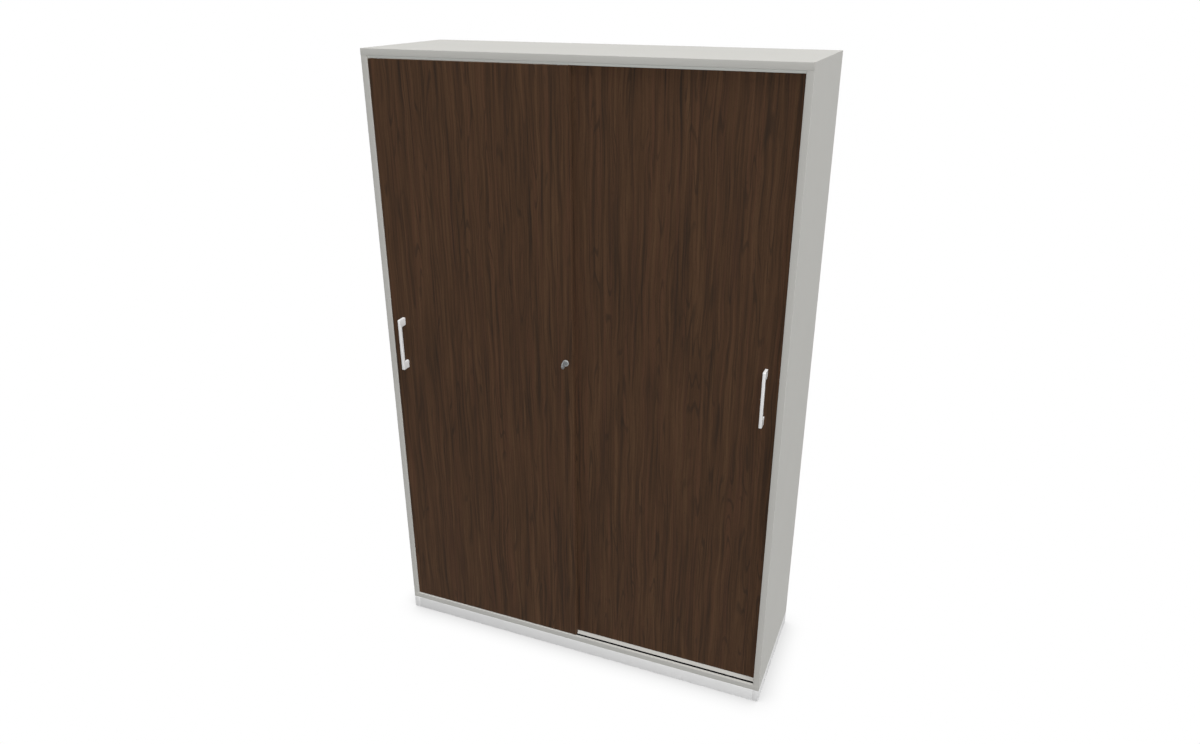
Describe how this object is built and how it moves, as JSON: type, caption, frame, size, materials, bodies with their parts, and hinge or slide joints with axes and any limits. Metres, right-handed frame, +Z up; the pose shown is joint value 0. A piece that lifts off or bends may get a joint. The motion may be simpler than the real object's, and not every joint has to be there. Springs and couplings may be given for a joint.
{
  "type": "sliding door cabinet",
  "caption": "Tall office cabinet on a plinth with two overlapping sliding doors, bow handles, a cylinder lock, a centre partition and loose shelves.",
  "frame": {"origin": "on the floor, in the middle of the box round the whole cabinet with its handles", "axes": "+Z up, +X to the right seen from the front, +Y from the doors towards the back"},
  "size_m": [1.2, 0.427, 1.82],
  "materials": {
    "grey_board": "light grey melamine, fine texture, satin",
    "back_board": "light grey melamine",
    "grey_edge_band": "light grey plastic edge band",
    "plinth_board": "pale grey melamine",
    "bare_wood": "bare beech and spruce",
    "walnut_board": "dark walnut melamine with upright grain",
    "walnut_edge_band": "dark walnut plastic edge band",
    "handle_lacquer": "white lacquer, satin",
    "zinced_steel": "zinced steel",
    "lock_metal": "nickel-plated",
    "black_plastic": "black plastic",
    "rail_plastic": "light grey plastic",
    "wheel_plastic": "white acetal",
    "stop_rubber": "black rubber"
  },
  "bodies": {
    "carcass": {"top_board": "grey_board", "bottom_board": "grey_board", "left_side": "grey_board", "right_side": "grey_board", "centre_partition": "grey_board", "back_panel": "back_board", "left_shelf_1": "grey_board", "left_shelf_2": "grey_board", "left_shelf_3": "grey_board", "left_shelf_4": "grey_board", "right_shelf_1": "grey_board", "right_shelf_2": "grey_board", "right_shelf_3": "grey_board", "right_shelf_4": "grey_board", "shelf_pins": "zinced_steel", "carcass_edge_bands": "grey_edge_band", "dowels": "bare_wood", "plinth_front": "plinth_board", "plinth_back": "plinth_board", "plinth_left": "plinth_board", "plinth_right": "plinth_board", "plinth_blocks": "bare_wood", "front_track": "black_plastic", "rear_track": "black_plastic", "track_stops": "stop_rubber", "front_guide_rail": "rail_plastic", "rear_guide_rail": "rail_plastic"},
    "left_door": {"left_door_panel": "walnut_board", "left_door_edge_bands": "walnut_edge_band", "left_handle": "handle_lacquer", "left_handle_screws": "zinced_steel", "left_roller_carriers": "black_plastic", "left_roller_axles": "zinced_steel", "left_guide_housings": "black_plastic", "lock_cylinder": "lock_metal", "lock_nut": "zinced_steel"},
    "right_door": {"right_door_panel": "walnut_board", "right_door_edge_bands": "walnut_edge_band", "right_handle": "handle_lacquer", "right_handle_screws": "zinced_steel", "right_roller_carriers": "black_plastic", "right_roller_axles": "zinced_steel", "right_guide_housings": "black_plastic", "lock_keeper": "zinced_steel", "lock_keeper_screws": "zinced_steel"},
    "left_door_wheel_left": {"left_door_wheel_left": "wheel_plastic"},
    "left_door_pin_left": {"left_door_pin_left": "zinced_steel"},
    "left_door_wheel_right": {"left_door_wheel_right": "wheel_plastic"},
    "left_door_pin_right": {"left_door_pin_right": "zinced_steel"},
    "right_door_wheel_left": {"right_door_wheel_left": "wheel_plastic"},
    "right_door_pin_left": {"right_door_pin_left": "zinced_steel"},
    "right_door_wheel_right": {"right_door_wheel_right": "wheel_plastic"},
    "right_door_pin_right": {"right_door_pin_right": "zinced_steel"},
    "lock_plug": {"lock_plug": "lock_metal", "lock_cam": "zinced_steel", "lock_cam_screw": "zinced_steel"},
    "lock_key": {"lock_key": "lock_metal"}
  },
  "joints": [
    {"name": "left_door_slide", "type": "slide", "parent": "carcass", "child": "left_door", "axis": [1, 0, 0], "range_m": [0, 0.52]},
    {"name": "right_door_slide", "type": "slide", "parent": "carcass", "child": "right_door", "axis": [1, 0, 0], "range_m": [-0.52, 0]},
    {"name": "left_door_wheel_left_turn", "type": "hinge", "parent": "left_door", "child": "left_door_wheel_left", "pos_m": [-0.5415, -0.1775, 0.0658], "axis": [0, 1, 0], "range_deg": [-1, 2130]},
    {"name": "left_door_wheel_right_turn", "type": "hinge", "parent": "left_door", "child": "left_door_wheel_right", "pos_m": [-0.035, -0.1775, 0.0658], "axis": [0, 1, 0], "range_deg": [-1, 2130]},
    {"name": "left_door_pin_left_press", "type": "slide", "parent": "left_door", "child": "left_door_pin_left", "axis": [0, 0, 1], "range_m": [-0.0107, 0], "stiffness_N_per_m": 150, "springref_m": 0.01},
    {"name": "left_door_pin_right_press", "type": "slide", "parent": "left_door", "child": "left_door_pin_right", "axis": [0, 0, 1], "range_m": [-0.0107, 0], "stiffness_N_per_m": 150, "springref_m": 0.01},
    {"name": "right_door_wheel_left_turn", "type": "hinge", "parent": "right_door", "child": "right_door_wheel_left", "pos_m": [0.035, -0.1515, 0.0658], "axis": [0, 1, 0], "range_deg": [-2130, 1]},
    {"name": "right_door_wheel_right_turn", "type": "hinge", "parent": "right_door", "child": "right_door_wheel_right", "pos_m": [0.5415, -0.1515, 0.0658], "axis": [0, 1, 0], "range_deg": [-2130, 1]},
    {"name": "right_door_pin_left_press", "type": "slide", "parent": "right_door", "child": "right_door_pin_left", "axis": [0, 0, 1], "range_m": [-0.0107, 0], "stiffness_N_per_m": 150, "springref_m": 0.01},
    {"name": "right_door_pin_right_press", "type": "slide", "parent": "right_door", "child": "right_door_pin_right", "axis": [0, 0, 1], "range_m": [-0.0107, 0], "stiffness_N_per_m": 150, "springref_m": 0.01},
    {"name": "lock_turn", "type": "hinge", "parent": "left_door", "child": "lock_plug", "pos_m": [-0.0155, -0.1855, 1.0034], "axis": [0, -1, 0], "range_deg": [0, 90]},
    {"name": "key_pull", "type": "slide", "parent": "lock_plug", "child": "lock_key", "axis": [0, -1, 0], "range_m": [0, 0.03]}
  ],
  "couplings": [
    {"joint": "left_door_wheel_left_turn", "follows": "left_door_slide", "rad_per_m": 71.429},
    {"joint": "left_door_wheel_right_turn", "follows": "left_door_slide", "rad_per_m": 71.429},
    {"joint": "right_door_wheel_left_turn", "follows": "right_door_slide", "rad_per_m": 71.429},
    {"joint": "right_door_wheel_right_turn", "follows": "right_door_slide", "rad_per_m": 71.429}
  ]
}
